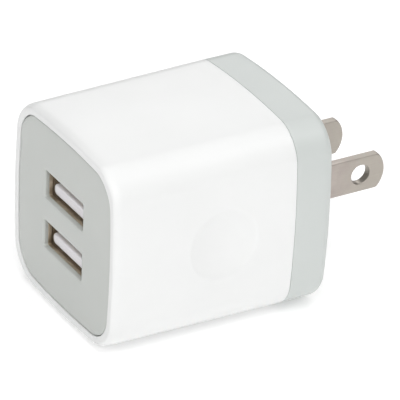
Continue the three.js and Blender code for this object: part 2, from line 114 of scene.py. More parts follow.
class Wire:
    """An output socket of a node tree that adds, multiplies and feeds other nodes."""

    def __init__(self, tree, socket=None):
        self.tree = tree
        self.socket = socket

    def node(self, kind, settings=None, inputs=None, output=0):
        """Makes a node, sets what it says, feeds it values or wires, and returns one output."""
        made = self.tree.nodes.new(kind)
        for name, value in (settings or {}).items():
            if name == "stops":
                write_stops(made.color_ramp, value)
            else:
                setattr(made, name, value)
        for name, value in (inputs or {}).items():
            feed(self.tree, made.inputs[name], value)
        return Wire(self.tree, made.outputs[output])

    def other(self, output):
        """Another output of the same node."""
        return Wire(self.tree, self.socket.node.outputs[output])

    def maths(self, operation, *values):
        inputs = dict(enumerate(values))
        return self.node("ShaderNodeMath", {"operation": operation}, inputs)

    def __add__(self, other):
        return self.maths("ADD", self, other)

    def __radd__(self, other):
        return self.maths("ADD", other, self)

    def __sub__(self, other):
        return self.maths("SUBTRACT", self, other)

    def __rsub__(self, other):
        return self.maths("SUBTRACT", other, self)

    def __mul__(self, other):
        return self.maths("MULTIPLY", self, other)

    def __rmul__(self, other):
        return self.maths("MULTIPLY", other, self)

    def __truediv__(self, other):
        return self.maths("DIVIDE", self, other)

    def __rtruediv__(self, other):
        return self.maths("DIVIDE", other, self)

    def __pow__(self, other):
        return self.maths("POWER", self, other)


def feed(tree, socket, value):
    if isinstance(value, Wire):
        tree.links.new(value.socket, socket)
    else:
        socket.default_value = value


def write_stops(ramp, stops):
    """Gives a colour ramp its (position, colour) stops."""
    while len(ramp.elements) < len(stops):
        ramp.elements.new(1.0)
    for element, (position, colour) in zip(ramp.elements, stops):
        element.position = position
        element.color = (*colour, 1.0)


# ---- Materials ------------------------------------------------------------------------------


class Finish:
    """A material under way: its tree, its surface shader and the object's own coordinates."""

    def __init__(self, name, **uniform):
        self.material = bpy.data.materials.new(name)
        self.material.use_nodes = True
        tree = self.material.node_tree
        self.surface = tree.nodes["Principled BSDF"]
        for socket, value in uniform.items():
            self.surface.inputs[socket.replace("_", " ")].default_value = value
        self.start = Wire(tree)
        self.place = self.start.node("ShaderNodeTexCoord", output="Object")

    def stretched(self, scale, centre=(0, 0, 0), turn=(0, 0, 0)):
        """The object's coordinates about a centre, turned and scaled."""
        inputs = {"Location": [-c * s for c, s in zip(centre, scale)], "Rotation": turn, "Scale": scale}
        return self.start.node("ShaderNodeMapping", inputs={"Vector": self.place, **inputs})

    def noise(self, scale, detail=3.0, roughness=0.5, stretch=(1, 1, 1)):
        """Cloudy noise, 0 to 1, with features about 1/scale metres across."""
        inputs = {"Vector": self.stretched([scale * s for s in stretch]), "Scale": 1.0}
        inputs |= {"Detail": detail, "Roughness": roughness}
        return self.start.node("ShaderNodeTexNoise", inputs=inputs)

    def blend(self, factor, first, second):
        """Two colours mixed by a factor."""
        settings = {"data_type": "RGBA", "blend_type": "MIX"}
        colours = [c if isinstance(c, Wire) else (*c, 1.0) for c in (first, second)]
        inputs = {0: factor, 6: colours[0], 7: colours[1]}
        return self.start.node("ShaderNodeMix", settings, inputs, 2)

    def ramp(self, value, low, high):
        """0 below low and 1 above high, straight between."""
        inputs = {"Value": value, "From Min": low, "From Max": high}
        return self.start.node("ShaderNodeMapRange", {"clamp": True}, inputs)

    def bump(self, height, distance, under=None):
        """A normal raised by a height of 0 to 1 times a distance, over another normal if given."""
        inputs = {"Height": height, "Distance": distance, "Strength": 1.0}
        if under is not None:
            inputs["Normal"] = under
        return self.start.node("ShaderNodeBump", inputs=inputs)

    def set(self, **sockets):
        """Feeds the surface's sockets and returns the finished material."""
        for name, value in sockets.items():
            feed(self.material.node_tree, self.surface.inputs[name.replace("_", " ")], value)
        return self.material


def moulded_plastic(name, colour, shade, roughness, grain):
    """Injection-moulded plastic: faint clouding, a fine spark-eroded grain and a soft shine."""
    finish = Finish(name, IOR=1.49)
    sink = 0.009 * MM                      # the slight waviness of a wall that has shrunk in cooling
    cloud = finish.noise(70, 3)
    fine = finish.noise(5200, 2, 0.6)
    broad = finish.noise(420, 2)
    rubbed = finish.ramp(finish.noise(160, 2, 0.5), 0.45, 0.8)
    sheen = roughness + 0.06 * broad - 0.04 * rubbed
    normal = finish.bump(fine, grain)
    normal = finish.bump(finish.noise(95, 1), sink, under=normal)
    tone = finish.blend(finish.ramp(cloud, 0.3, 0.7), shade, colour)
    return finish.set(Base_Color=tone, Roughness=sheen, Normal=normal)


def plated_blade():
    """Nickel-plated brass: lengthwise rolling lines, long scuffs from outlets and dull patches."""
    finish = Finish("nickel_plate", Metallic=1.0)
    dull, clean = (0.40, 0.354, 0.326), (0.475, 0.428, 0.392)
    yellowed, scraped = (0.415, 0.393, 0.342), (0.56, 0.52, 0.47)
    handled_from, handled_to = 9 * MM, 14 * MM
    lines = finish.noise(1, 4, 0.6, stretch=(9000, 130, 9000))
    scuffs = finish.ramp(finish.noise(1, 3, 0.5, stretch=(600, 90, 14000)), 0.62, 0.74)
    patches = finish.noise(240, 4, 0.6)
    tone = finish.blend(finish.ramp(patches, 0.35, 0.7), dull, clean)
    along = finish.start.node("ShaderNodeSeparateXYZ", inputs={0: finish.place}, output="Y")
    ragged = 4 * MM * patches
    handled = finish.ramp(along + ragged, handled_from, handled_to)
    tone = finish.blend(0.5 * handled, tone, yellowed)
    tone = finish.blend(0.35 * scuffs, tone, scraped)
    sheen = 0.3 + 0.16 * lines + 0.1 * patches - 0.08 * scuffs
    normal = finish.bump(lines, 0.006 * MM)
    normal = finish.bump(scuffs, 0.003 * MM, under=normal)
    return finish.set(Base_Color=tone, Roughness=sheen, Normal=normal)


def tinned_steel():
    """The sockets' folded sheet: a warm dull tin plate with rolling lines and darker stains."""
    finish = Finish("tinned_steel", Metallic=1.0)
    stained, bright = (0.50, 0.42, 0.31), (0.67, 0.59, 0.465)
    lines = finish.noise(1, 3, 0.5, stretch=(2600, 300, 2600))
    stain = finish.ramp(finish.noise(700, 4, 0.6), 0.4, 0.7)
    tone = finish.blend(stain, stained, bright)
    sheen = 0.42 + 0.2 * lines
    normal = finish.bump(lines, 0.005 * MM)
    return finish.set(Base_Color=tone, Roughness=sheen, Normal=normal)


def socket_nylon():
    """The tongues' glass-filled nylon: nearly white, matt, with a faint fibre fleck."""
    even_glow = {"Subsurface_Weight": 0.8, "Subsurface_Radius": (1, 1, 1), "Subsurface_Scale": MM}
    finish = Finish("socket_nylon", IOR=1.53, **even_glow)
    between, fibre = (0.80, 0.78, 0.81), (0.88, 0.865, 0.885)
    fleck = finish.noise(1, 4, 0.6, stretch=(5200, 1800, 5200))
    tone = finish.blend(finish.ramp(fleck, 0.35, 0.7), between, fibre)
    normal = finish.bump(fleck, 0.007 * MM)
    return finish.set(Base_Color=tone, Roughness=0.42 + 0.14 * fleck, Normal=normal)


def worn_metal(name, colour, bright, roughness, scale):
    """A plain metal with a grain, a patchy tone and an uneven polish."""
    finish = Finish(name, Metallic=1.0)
    grain = finish.noise(scale, 4, 0.6)
    tone = finish.blend(finish.ramp(grain, 0.3, 0.75), colour, bright)
    normal = finish.bump(grain, 0.004 * MM)
    return finish.set(Base_Color=tone, Roughness=roughness + 0.18 * grain, Normal=normal)


def dusty_solid(name, colour, shade, roughness, scale, height=0.008 * MM):
    """A dull moulded or fired body with a speckle and a slightly pitted skin."""
    finish = Finish(name)
    speckle = finish.noise(scale, 5, 0.65)
    tone = finish.blend(finish.ramp(speckle, 0.35, 0.7), colour, shade)
    normal = finish.bump(speckle, height)
    return finish.set(Base_Color=tone, Roughness=roughness + 0.15 * speckle, Normal=normal)


def wound_rows(name, colour, shade, metallic, pitch):
    """Turns of wire or tape lying one above the other: one raised row for each turn."""
    finish = Finish(name, Metallic=metallic)
    settings = {"wave_type": "BANDS", "bands_direction": "Z"}
    one_row_a_metre = 0.05 * 2 * math.pi   # the wave texture's scale for rows a metre apart
    wave_inputs = {"Vector": finish.place, "Scale": one_row_a_metre / pitch, "Distortion": 0.2}
    rows = finish.start.node("ShaderNodeTexWave", settings, wave_inputs, "Fac")
    tone = finish.blend(rows, shade, colour)
    normal = finish.bump(rows, 0.3 * pitch)
    return finish.set(Base_Color=tone, Roughness=0.45 - 0.15 * rows, Normal=normal)


def lacquered_board():
    """Green solder lacquer over copper areas, which show as slightly raised lighter lands."""
    finish = Finish("lacquered_board", IOR=1.5)
    over_glass, over_copper, over_weave = (0.012, 0.075, 0.03), (0.03, 0.17, 0.06), (0.06, 0.22, 0.08)
    cell_inputs = {"Vector": finish.place, "Scale": 320.0}
    cells = finish.start.node("ShaderNodeTexVoronoi", {"feature": "DISTANCE_TO_EDGE"}, cell_inputs)
    land = finish.ramp(cells, 0.05, 0.09)
    weave = finish.noise(2400, 2)
    tone = finish.blend(land, over_glass, over_copper)
    tone = finish.blend(0.25 * weave, tone, over_weave)
    normal = finish.bump(land, 0.03 * MM)
    return finish.set(Base_Color=tone, Roughness=0.3 + 0.15 * weave, Normal=normal)


white_plastic = moulded_plastic(
    "white_plastic",
    colour=(0.81, 0.815, 0.81),
    shade=(0.785, 0.79, 0.785),
    roughness=0.315,
    grain=0.003 * MM,
)
# The plate's plastic is the cap's grey, a little warmer and a little darker; the darkening is painted
# shade of the front face
plate_plastic_with_painted_shade = moulded_plastic(
    "plate_plastic_with_painted_shade",
    colour=(0.538, 0.556, 0.533),
    shade=(0.523, 0.542, 0.519),
    roughness=0.36,
    grain=0.004 * MM,
)
grey_plastic = moulded_plastic(
    "grey_plastic",
    colour=(0.575, 0.603, 0.588),
    shade=(0.555, 0.583, 0.568),
    roughness=0.33,
    grain=0.004 * MM,
)
black_moulding = dusty_solid("black_moulding", (0.012, 0.012, 0.013), (0.03, 0.03, 0.03), 0.45, 1500)
nickel = plated_blade()
tin_plate = tinned_steel()
nylon = socket_nylon()
gilt = worn_metal("gilt_contact", (0.72, 0.48, 0.16), (0.88, 0.66, 0.30), 0.2, 1800)
board_lacquer = lacquered_board()
winding_yellow, winding_seam = (0.72, 0.50, 0.05), (0.55, 0.36, 0.03)
copper, copper_gap = (0.62, 0.27, 0.10), (0.24, 0.08, 0.03)
sleeve_blue, sleeve_ink = (0.015, 0.03, 0.10), (0.03, 0.05, 0.15)
TAPE_WIDTH = 0.9 * MM
WIRE_WIDTH = 0.25 * MM

SLOT_FINISHES = {
    "white_shell": white_plastic,
    "grey_shell": grey_plastic,
    "blade_metal": nickel,
    "socket_steel": tin_plate,
    "socket_plastic": nylon,
    "gilt_contact": gilt,
    "contact_brass": worn_metal("spring_brass", (0.52, 0.36, 0.13), (0.72, 0.54, 0.24), 0.3, 900),
    "black_moulding": black_moulding,
    "circuit_board": board_lacquer,
    "insulating_sheet": dusty_solid("fish_paper", (0.72, 0.70, 0.62), (0.80, 0.78, 0.71), 0.6, 900),
    "ferrite": dusty_solid("ferrite", (0.03, 0.03, 0.034), (0.07, 0.07, 0.075), 0.6, 2200, 0.02 * MM),
    "winding_tape": wound_rows("winding_tape", winding_yellow, winding_seam, 0.0, TAPE_WIDTH),
    "copper_wire": wound_rows("copper_wire", copper, copper_gap, 1.0, WIRE_WIDTH),
    "capacitor_sleeve": dusty_solid("capacitor_sleeve", sleeve_blue, sleeve_ink, 0.25, 400),
    "capacitor_can": worn_metal("capacitor_can", (0.55, 0.56, 0.57), (0.70, 0.71, 0.72), 0.3, 700),
    "resistor_body": dusty_solid("resistor_body", (0.52, 0.37, 0.18), (0.62, 0.47, 0.25), 0.5, 1300),
    "disc_coating": dusty_solid("disc_coating", (0.015, 0.12, 0.36), (0.03, 0.18, 0.46), 0.3, 800),
}


# ---- Outlines and paths ---------------------------------------------------------------------


def rounded_rectangle(width, height, corner, steps=8):
    """A closed ring of (x, z) points, anticlockwise as seen from the front."""
    ring = []
    for quarter in range(4):
        side_x = 1 if quarter in (0, 3) else -1
        side_z = 1 if quarter in (0, 1) else -1
        for i in range(steps + 1):
            angle = (quarter + i / steps) * math.pi / 2
            x = side_x * (width / 2 - corner) + corner * math.cos(angle)
            z = side_z * (height / 2 - corner) + corner * math.sin(angle)
            ring.append((x, z))
    return ring


def arc(centre_a, centre_b, radius, angles):
    """Points on a circle, at these angles."""
    return [(centre_a + radius * math.cos(a), centre_b + radius * math.sin(a)) for a in angles]


def quarter_ellipse(start, end, along_first, steps=8):
    """Points of a quarter ellipse from start to end, leaving along the first or second axis."""
    points = []
    for i in range(steps + 1):
        angle = i / steps * math.pi / 2
        late, early = 1 - math.cos(angle), math.sin(angle)
        first, second = (early, late) if along_first else (late, early)
        points.append((start[0] + (end[0] - start[0]) * first, start[1] + (end[1] - start[1]) * second))
    return points


def filleted(corners, closed=False, steps=4):
    """A path through (a, b, radius) corners, each turned with an arc of its radius."""
    count = len(corners)
    path = []
    for i, (a, b, radius) in enumerate(corners):
        if radius == 0 or (not closed and i in (0, count - 1)):
            path.append((a, b))
            continue
        here = Vector((a, b))
        before = Vector(corners[i - 1][:2]) - here
        after = Vector(corners[(i + 1) % count][:2]) - here
        before.normalize()
        after.normalize()
        half = before.angle(after) / 2
        reach = radius / math.tan(half)
        centre = here + (before + after).normalized() * (radius / math.sin(half))
        first = here + before * reach - centre
        last = here + after * reach - centre
        swing = first.angle_signed(last)
        for k in range(steps + 1):
            turned = first.copy()
            turned.rotate(Matrix.Rotation(-swing * k / steps, 2))
            path.append(tuple(centre + turned))
    return path


def spaced(path, step):
    """The same path with its long runs divided so that no step is longer than this."""
    out = [path[0]]
    for start, end in zip(path, path[1:]):
        length = math.dist(start, end)
        parts = max(1, math.ceil(length / step))
        for k in range(1, parts + 1):
            out.append(tuple(s + (e - s) * k / parts for s, e in zip(start, end)))
    return out


# ---- Making meshes --------------------------------------------------------------------------

SAME_POINT = 0.0001 * MM                   # points closer than this are one point
SHARP_EDGE = 50                            # degrees past which an edge stays crisp


def dress(mesh, material):
    """Makes this the mesh's one material."""
    mesh.materials.clear()
    mesh.materials.append(material)
    mesh.polygons.foreach_set("material_index", [0] * len(mesh.polygons))
    return mesh


def new_piece(name, mesh, material):
    """An object of this mesh and material, at the origin."""
    mesh.name = name
    piece = bpy.data.objects.new(name, dress(mesh, material))
    bpy.context.scene.collection.objects.link(piece)
    return piece


def settled_mesh(piece):
    """The piece's mesh with every modifier worked in."""
    graph = bpy.context.evaluated_depsgraph_get()
    return bpy.data.meshes.new_from_object(piece.evaluated_get(graph), depsgraph=graph)


def work_in_modifiers(piece):
    """Gives the piece its modifiers' result as a plain mesh, and takes them off."""
    mesh = settled_mesh(piece)
    piece.modifiers.clear()
    piece.data = mesh


def finish_piece(piece, material, slot, *nodes, sharp=SHARP_EDGE):
    """Smooths a piece, keeps its crisp edges and its flats, and puts it in the place of its nodes."""
    piece.data.polygons.foreach_set("use_smooth", [True] * len(piece.data.polygons))
    piece.data.set_sharp_from_angle(angle=math.radians(sharp))
    modifier = piece.modifiers.new("flats", "WEIGHTED_NORMAL")
    modifier.keep_sharp = True
    work_in_modifiers(piece)
    dress(piece.data, material)
    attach(piece, "root")
    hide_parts(*nodes)


def mesh_of(bm):
    """Turns a bmesh into a mesh with merged points and outward faces."""
    bmesh.ops.remove_doubles(bm, verts=bm.verts, dist=SAME_POINT)
    bmesh.ops.recalc_face_normals(bm, faces=bm.faces)
    mesh = bpy.data.meshes.new("shape")
    bm.to_mesh(mesh)
    bm.free()
    return mesh


def add_ring(bm, outline, centre, station):
    """Points of an (x, z) outline about a centre, at a station along Y."""
    return [bm.verts.new((centre[0] + x, station, centre[1] + z)) for x, z in outline]


def bridge(bm, first, second):
    """A band of four-sided faces between two rings of as many points."""
    count = len(first)
    for i in range(count):
        j = (i + 1) % count
        bm.faces.new((first[i], second[i], second[j], first[j]))


def add_loft(bm, rings, closed=False):
    """Joins rings of points in turn, and closes the ends with a face each, or the last to the first."""
    for first, second in zip(rings, rings[1:]):
        bridge(bm, first, second)
    if closed:
        bridge(bm, rings[-1], rings[0])
    else:
        bm.faces.new(rings[0])
        bm.faces.new(list(reversed(rings[-1])))


def rectangle_rings(bm, width, height, corner, path, centre=(0, 0), stretch=1):
    """Rounded rectangles grown by the path's offsets, at its stations."""
    rings = []
    for offset, station in path:
        outline = rounded_rectangle(width + 2 * stretch * offset, height + 2 * offset, corner + offset)
        rings.append(add_ring(bm, outline, centre, station))
    return rings


def add_box(bm, low, high, edge):
    """A box between two corners with softened edges."""
    width, depth, height = (b - a for a, b in zip(low, high))
    centre = ((low[0] + high[0]) / 2, (low[2] + high[2]) / 2)
    path = [(-edge, low[1]), (0, low[1] + edge), (0, low[1] + depth - edge), (-edge, high[1])]
    add_loft(bm, rectangle_rings(bm, width, height, 1.5 * edge, path, centre))


def add_strip(bm, line, thick, width, centre):
    """A bent strip: its centre line is in (y, z) about a centre, and its width lies along X."""
    points = [Vector(p) for p in line]
    section = []
    for side in (-0.5, 0.5):
        edge = []
        for i, point in enumerate(points):
            way = (points[min(i + 1, len(points) - 1)] - points[max(i - 1, 0)]).normalized()
            edge.append(point + Vector((-way.y, way.x)) * thick * side)
        section += edge if side < 0 else list(reversed(edge))
    x0, y0, z0 = centre
    ends = [[bm.verts.new((x0 + s * width / 2, y0 + p.x, z0 + p.y)) for p in section] for s in (-1, 1)]
    bridge(bm, *ends)
    count = len(points)
    for end in ends:
        for i in range(count - 1):
            quad = (end[i], end[i + 1], end[-2 - i], end[-1 - i])
            bm.faces.new(quad if end is ends[0] else tuple(reversed(quad)))


def flat_part(loops, thick, edge):
    """A bmesh cut from sheet: loops in a plane, thickened, with every edge rounded over."""
    curve = bpy.data.curves.new("sheet", "CURVE")
    curve.dimensions = "2D"
    curve.fill_mode = "BOTH"
    curve.extrude = thick / 2 - edge
    curve.bevel_depth = edge
    curve.bevel_resolution = 3
    curve.offset = -edge
    for loop in loops:
        spline = curve.splines.new("POLY")
        spline.points.add(len(loop) - 1)
        for point, (x, y) in zip(spline.points, loop):
            point.co = (x, y, 0, 1)
        spline.use_cyclic_u = True
    sheet = bpy.data.objects.new("sheet", curve)
    bpy.context.scene.collection.objects.link(sheet)
    mesh = settled_mesh(sheet)
    bpy.data.objects.remove(sheet)
    bm = bmesh.new()
    bm.from_mesh(mesh)
    return bm


# ---- The casing's own shape: a bowed square swept by a profile ------------------------------

AROUND_STEPS = 4 * 96                      # faces round the body, a quarter at a time
CORNER_SHARE = 0.32                        # the share of each quarter's faces that turn its corner
DISH_SOFTNESS = 0.03                       # how gently the dish's rim fades out, in dish depths
OUTER_SKIN = 0.3 * MM                      # the dish moves only points with less inset than this
CLOSE_POINTS = 0.002 * MM                  # points of the swept wall closer than this are one point


def tree_with_sockets(name, numbers):
    """A geometry tree with a geometry and a material input, and one number input for each name."""
    tree = bpy.data.node_groups.new(name, "GeometryNodeTree")
    tree.interface.new_socket("Geometry", in_out="OUTPUT", socket_type="NodeSocketGeometry")
    tree.interface.new_socket("Geometry", in_out="INPUT", socket_type="NodeSocketGeometry")
    for label in numbers:
        tree.interface.new_socket(label, in_out="INPUT", socket_type="NodeSocketFloat")
    tree.interface.new_socket("Material", in_out="INPUT", socket_type="NodeSocketMaterial")
    return tree, Wire(tree).node("NodeGroupInput", output="Geometry")


def end_tree(tree, geometry, material):
    """Closes a tree: real geometry, then its one material."""
    real = geometry.node("GeometryNodeRealizeInstances", inputs={"Geometry": geometry})
    dressed = real.node("GeometryNodeSetMaterial", inputs={"Geometry": real, "Material": material})
    out = tree.nodes.new("NodeGroupOutput")
    tree.links.new(dressed.socket, out.inputs[0])


def run_tree(piece, tree, values):
    """Gives the piece the tree's result as its own plain mesh."""
    modifier = piece.modifiers.new(tree.name, "NODES")
    modifier.node_group = tree
    for item in tree.interface.items_tree:
        if item.in_out == "INPUT" and item.name in values:
            modifier[item.identifier] = values[item.name]
    work_in_modifiers(piece)


def bowed_wall_tree():
    """Sweeps a profile round a rounded square whose sides bow outwards.

    The profile is a line of points whose x is the inset from the side and whose y is the station.
    Each quarter of the way round is a side followed by a corner.
    """
    numbers = ["Side", "Taper", "Taper Start", "Taper Length", "Corner", "Bow"]
    numbers += ["Corner Shrink", "Bow Shrink", "Steps", "Corner Share"]
    numbers += ["Dish Radius", "Dish Depth", "Dish Place", "Skin"]
    tree, profile = tree_with_sockets("bowed wall", numbers)
    maths = profile.maths
    value = {name: profile.other(name) for name in numbers}

    count = profile.node("GeometryNodeAttributeDomainSize", inputs={0: profile}, output="Point Count")
    grid_inputs = {"Size X": 1.0, "Size Y": 1.0, "Vertices X": value["Steps"] + 1, "Vertices Y": count}
    grid = profile.node("GeometryNodeMeshGrid", inputs=grid_inputs, output="Mesh")
    position = profile.node("GeometryNodeInputPosition")
    grid_x = profile.node("ShaderNodeSeparateXYZ", inputs={0: position})
    around = grid_x + 0.5
    along = grid_x.other("Y") + 0.5
    settings = {"data_type": "FLOAT_VECTOR", "domain": "POINT"}
    nearest = maths("ROUND", along * (count - 1))
    sample_inputs = {"Geometry": profile, "Value": position, "Index": nearest}
    sample = profile.node("GeometryNodeSampleIndex", settings, sample_inputs)
    inset = profile.node("ShaderNodeSeparateXYZ", inputs={0: sample})
    station = inset.other("Y")

    narrowing = maths("MAXIMUM", (value["Taper Start"] - station) / value["Taper Length"], 0.0)
    bow = value["Bow"] - value["Bow Shrink"] * inset
    corner = value["Corner"] - value["Corner Shrink"] * inset
    half = (value["Side"] - value["Taper"] * narrowing) / 2 - inset - bow
    reach = half - corner

    quarter = maths("FLOOR", around * 4)
    way = around * 4 - quarter
    side_share = 1 - value["Corner Share"]
    side_way = maths("MINIMUM", way / side_share, 1.0)
    angle = maths("MAXIMUM", way - side_share, 0.0) / value["Corner Share"] * (math.pi / 2)
    out = reach + corner * maths("COSINE", angle)
    across = reach * (2 * side_way - 1) + corner * maths("SINE", angle)
    out_bowed = out * (1 + bow / half * (1 - (across / half) ** 2))
    across_bowed = across * (1 + bow / half * (1 - (out / half) ** 2))
    turn = quarter * (math.pi / 2)
    cosine, sine = maths("COSINE", turn), maths("SINE", turn)
    x = out_bowed * cosine - across_bowed * sine
    z = out_bowed * sine + across_bowed * cosine

    from_dish = ((station - value["Dish Place"]) ** 2 + z ** 2) / value["Dish Radius"] ** 2
    hollow = maths("SMOOTH_MAX", 1 - from_dish ** 2, 0.0, DISH_SOFTNESS) * value["Dish Depth"]
    outer_skin = maths("LESS_THAN", inset, value["Skin"])
    x = x - maths("SIGN", x) * hollow * outer_skin

    place = profile.node("ShaderNodeCombineXYZ", inputs={"X": x, "Y": station, "Z": z})
    moved = profile.node("GeometryNodeSetPosition", inputs={"Geometry": grid, "Position": place})
    merge_inputs = {"Geometry": moved, "Distance": CLOSE_POINTS}
    merged = profile.node("GeometryNodeMergeByDistance", inputs=merge_inputs)
    end_tree(tree, merged, profile.other("Material"))
    return tree


bowed_wall = bowed_wall_tree()


def swept_case(name, profile, material, dish_depth=0.0):
    """The body's bowed square swept by a profile of (inset, station) points."""
    mesh = bpy.data.meshes.new(name)
    edges = [(i, i + 1) for i in range(len(profile) - 1)]
    mesh.from_pydata([(inset, station, 0) for inset, station in profile], edges, [])
    piece = new_piece(name, mesh, material)
    values = {
        "Side": BODY_SIDE,
        "Taper": BODY_TAPER,
        "Taper Start": SLEEVE_END,
        "Taper Length": SLEEVE_END - FRONT,
        "Corner": BODY_CORNER,
        "Bow": SIDE_BOW,
        "Corner Shrink": CORNER_SHRINK,
        "Bow Shrink": BOW_SHRINK,
        "Steps": AROUND_STEPS,
        "Corner Share": CORNER_SHARE,
        "Dish Radius": DISH_RADIUS,
        "Dish Depth": dish_depth,
        "Dish Place": MIDDLE,
        "Skin": OUTER_SKIN,
        "Material": material,
    }
    run_tree(piece, bowed_wall, values)
    return piece


def close_with_holes(piece, holes):
    """Fills the two open rims of a swept band with flat faces that the holes pass through.

    Each hole is (width, height, corner, centre, path, stretch), with its path's first station on
    one rim's plane and its last on the other's.
    """
    bm = bmesh.new()
    bm.from_mesh(piece.data)
    rim_edges = [edge for edge in bm.edges if edge.is_boundary]
    rims = {}                              # each rim's edges, under its station to the micrometre
    for edge in rim_edges:
        rims.setdefault(round(edge.verts[0].co.y, 6), []).append(edge)
    for width, height, corner, centre, path, stretch in holes:
        rings = rectangle_rings(bm, width, height, corner, path, centre, stretch)
        for first, second in zip(rings, rings[1:]):
            bridge(bm, first, second)
        for ring in (rings[0], rings[-1]):
            edges = [bm.edges.get((a, b)) for a, b in zip(ring, ring[1:] + ring[:1])]
            rims[round(ring[0].co.y, 6)] += edges
    for edges in rims.values():
        bmesh.ops.triangle_fill(bm, use_beauty=True, edges=edges)
    piece.data = mesh_of(bm)


# ---- Casing pieces --------------------------------------------------------------------------


def make_sleeve():
    """The white sleeve, with its rounded front, the plate's pocket, the ledge and the dished sides."""
    inset, depth = FRONT_EDGE
    pocket_ease, ledge_ease = 0.14 * MM, 0.15 * MM
    ledge_inset = 3.55 * MM
    ledge_front = PLATE_BACK + 0.15 * MM
    ledge_back = ledge_front + 1.1 * MM
    dish_reach = DISH_RADIUS + 0.4 * MM
    dish_step, wall_step = 0.2 * MM, 1.2 * MM
    rear_lip = filleted([(WALL, SLEEVE_END, 0), (0, SLEEVE_END, CRISP), (0, FRONT + depth, 0)])
    dish_run = spaced([(0, MIDDLE + dish_reach), (0, MIDDLE - dish_reach)], dish_step)
    front_edge = quarter_ellipse((0, FRONT + depth), (inset, FRONT), along_first=False, steps=14)
    inside = filleted([
        (inset, FRONT, 0),
        (POCKET_INSET, FRONT, pocket_ease),
        (POCKET_INSET, ledge_front, 0),
        (ledge_inset, ledge_front, ledge_ease),
        (ledge_inset, ledge_back, ledge_ease),
        (WALL, ledge_back, 0),
        (WALL, SLEEVE_END, 0),
    ])
    profile = rear_lip[:-1] + dish_run + front_edge + inside[1:]
    piece = swept_case("moulded_sleeve", spaced(profile, wall_step), white_plastic, DISH_DEPTH)
    bm = bmesh.new()
    bm.from_mesh(piece.data)
    piece.data = mesh_of(bm)
    finish_piece(piece, white_plastic, "white_shell", "main_housing")


def make_plate():
    """The grey plate in the front rim: rounded at its edge, with a shallow slope round each opening."""
    face_ease = 0.22 * MM
    skirt_out, skirt_in, skirt_end = 3.85 * MM, 5.05 * MM, PLATE_BACK + 1.9 * MM
    fill_front, fill_back = 2.6 * MM, 5.6 * MM
    profile = filleted([
        (fill_front, PLATE_FACE, 0),
        (PLATE_INSET, PLATE_FACE, face_ease),
        (PLATE_INSET, PLATE_BACK, EASED),
        (skirt_out, PLATE_BACK, 0),
        (skirt_out, skirt_end, EASED),
        (skirt_in, skirt_end, EASED),
        (skirt_in, PLATE_BACK, 0),
        (fill_back, PLATE_BACK, 0),
    ])
    piece = swept_case("moulded_plate", profile, plate_plastic_with_painted_shade)
    width, depth = LEAD_IN
    slope_end, wall_start = 0.15 * MM, PLATE_FACE + 0.3 * MM
    mouth_step = 0.09 * MM
    mouth = filleted([
        (width, PLATE_FACE, 0),
        (slope_end, PLATE_FACE + depth, CRISP),
        (0, wall_start, EASED),
        (0, PLATE_BACK, 0),
    ])
    mouth = spaced(mouth, mouth_step)
    opening = (PORT_WIDTH, PORT_HEIGHT, PORT_CORNER)
    holes = [(*opening, (PORT_SIDE, z), mouth, LEAD_IN_STRETCH) for z in PORT_HEIGHTS]
    close_with_holes(piece, holes)
    finish_piece(piece, plate_plastic_with_painted_shade, "grey_shell", "front_plate")


def make_cap():
    """The grey cap: a band that carries the sleeve's line on, the wall face and the blades' slots."""
    inset, depth = REAR_EDGE
    seam = SLEEVE_END + SEAM
    spigot_out, spigot_in = WALL + 0.3 * MM, WALL + 1.3 * MM
    inner_corner, wall_step, fill = 0.4 * MM, 0.8 * MM, 6 * MM
    rear_edge = quarter_ellipse((inset, REAR), (0, REAR - depth), along_first=True, steps=12)
    inside = filleted([
        (0, REAR - depth, 0),
        (0, seam, CRISP),
        (spigot_out, seam, 0),
        (spigot_out, CAP_FRONT, EASED),
        (spigot_in, CAP_FRONT, EASED),
        (spigot_in, -CAP_WALL, inner_corner),
        (fill, -CAP_WALL, 0),
    ])
    profile = [(fill, REAR)] + rear_edge + inside[1:]
    piece = swept_case("moulded_cap", spaced(profile, wall_step), grey_plastic)
    slot_margin, slot_ease, slot_corner, play = 0.3 * MM, 0.14 * MM, 0.25 * MM, 0.15 * MM
    slot_path = filleted([(slot_margin, REAR, 0), (0, REAR, slot_ease), (0, -CAP_WALL, 0)])
    holes = []
    for node in ("blade_left", "blade_right"):
        low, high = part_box(node)
        size = (high.x - low.x + 2 * play, high.z - low.z + 2 * play)
        middle = ((low.x + high.x) / 2, (low.z + high.z) / 2)
        holes.append((*size, slot_corner, middle, slot_path, 1))
    close_with_holes(piece, holes)
    finish_piece(piece, grey_plastic, "grey_shell", "rear_cap")


# ---- Blades ---------------------------------------------------------------------------------

BLADE_EDGE = 0.16 * MM
BLADE_TAB = (-5.6 * MM, 2 * MM)            # where the narrow tab starts, and half its height
NOSE_RADIUS = 4.5 * MM
NOSE_EASE = 0.7 * MM                       # the corners between the nose and the straight edges
HOLE_RADIUS = 1.75 * MM
HOLE_PLACE = 11.9 * MM


def blade_outline(low, high):
    """The blade seen from the side: a straight tab, shoulders and a round nose with eased corners."""
    half = (high.z - low.z) / 2
    inside_box = 0.001 * MM                # keeps the nose within the frame node's box
    tip = high.y - inside_box
    shoulder, tab_half = BLADE_TAB
    centre = tip - NOSE_RADIUS
    # the easing circle touches the straight edge and the nose from inside
    ease_y = half - NOSE_EASE
    ease_x = centre + math.sqrt((NOSE_RADIUS - NOSE_EASE) ** 2 - ease_y ** 2)
    meet = math.atan2(ease_y, ease_x - centre)
    upper = arc(ease_x, ease_y, NOSE_EASE, np.linspace(math.pi / 2, meet, 7))
    round_nose = arc(centre, 0, NOSE_RADIUS, np.linspace(meet, -meet, 19))
    lower = [(x, -y) for x, y in reversed(upper)]
    root = [(shoulder, -half), (shoulder, -tab_half), (low.y, -tab_half), (low.y, tab_half)]
    root += [(shoulder, tab_half), (shoulder, half)]
    return root + upper + round_nose[1:-1] + lower


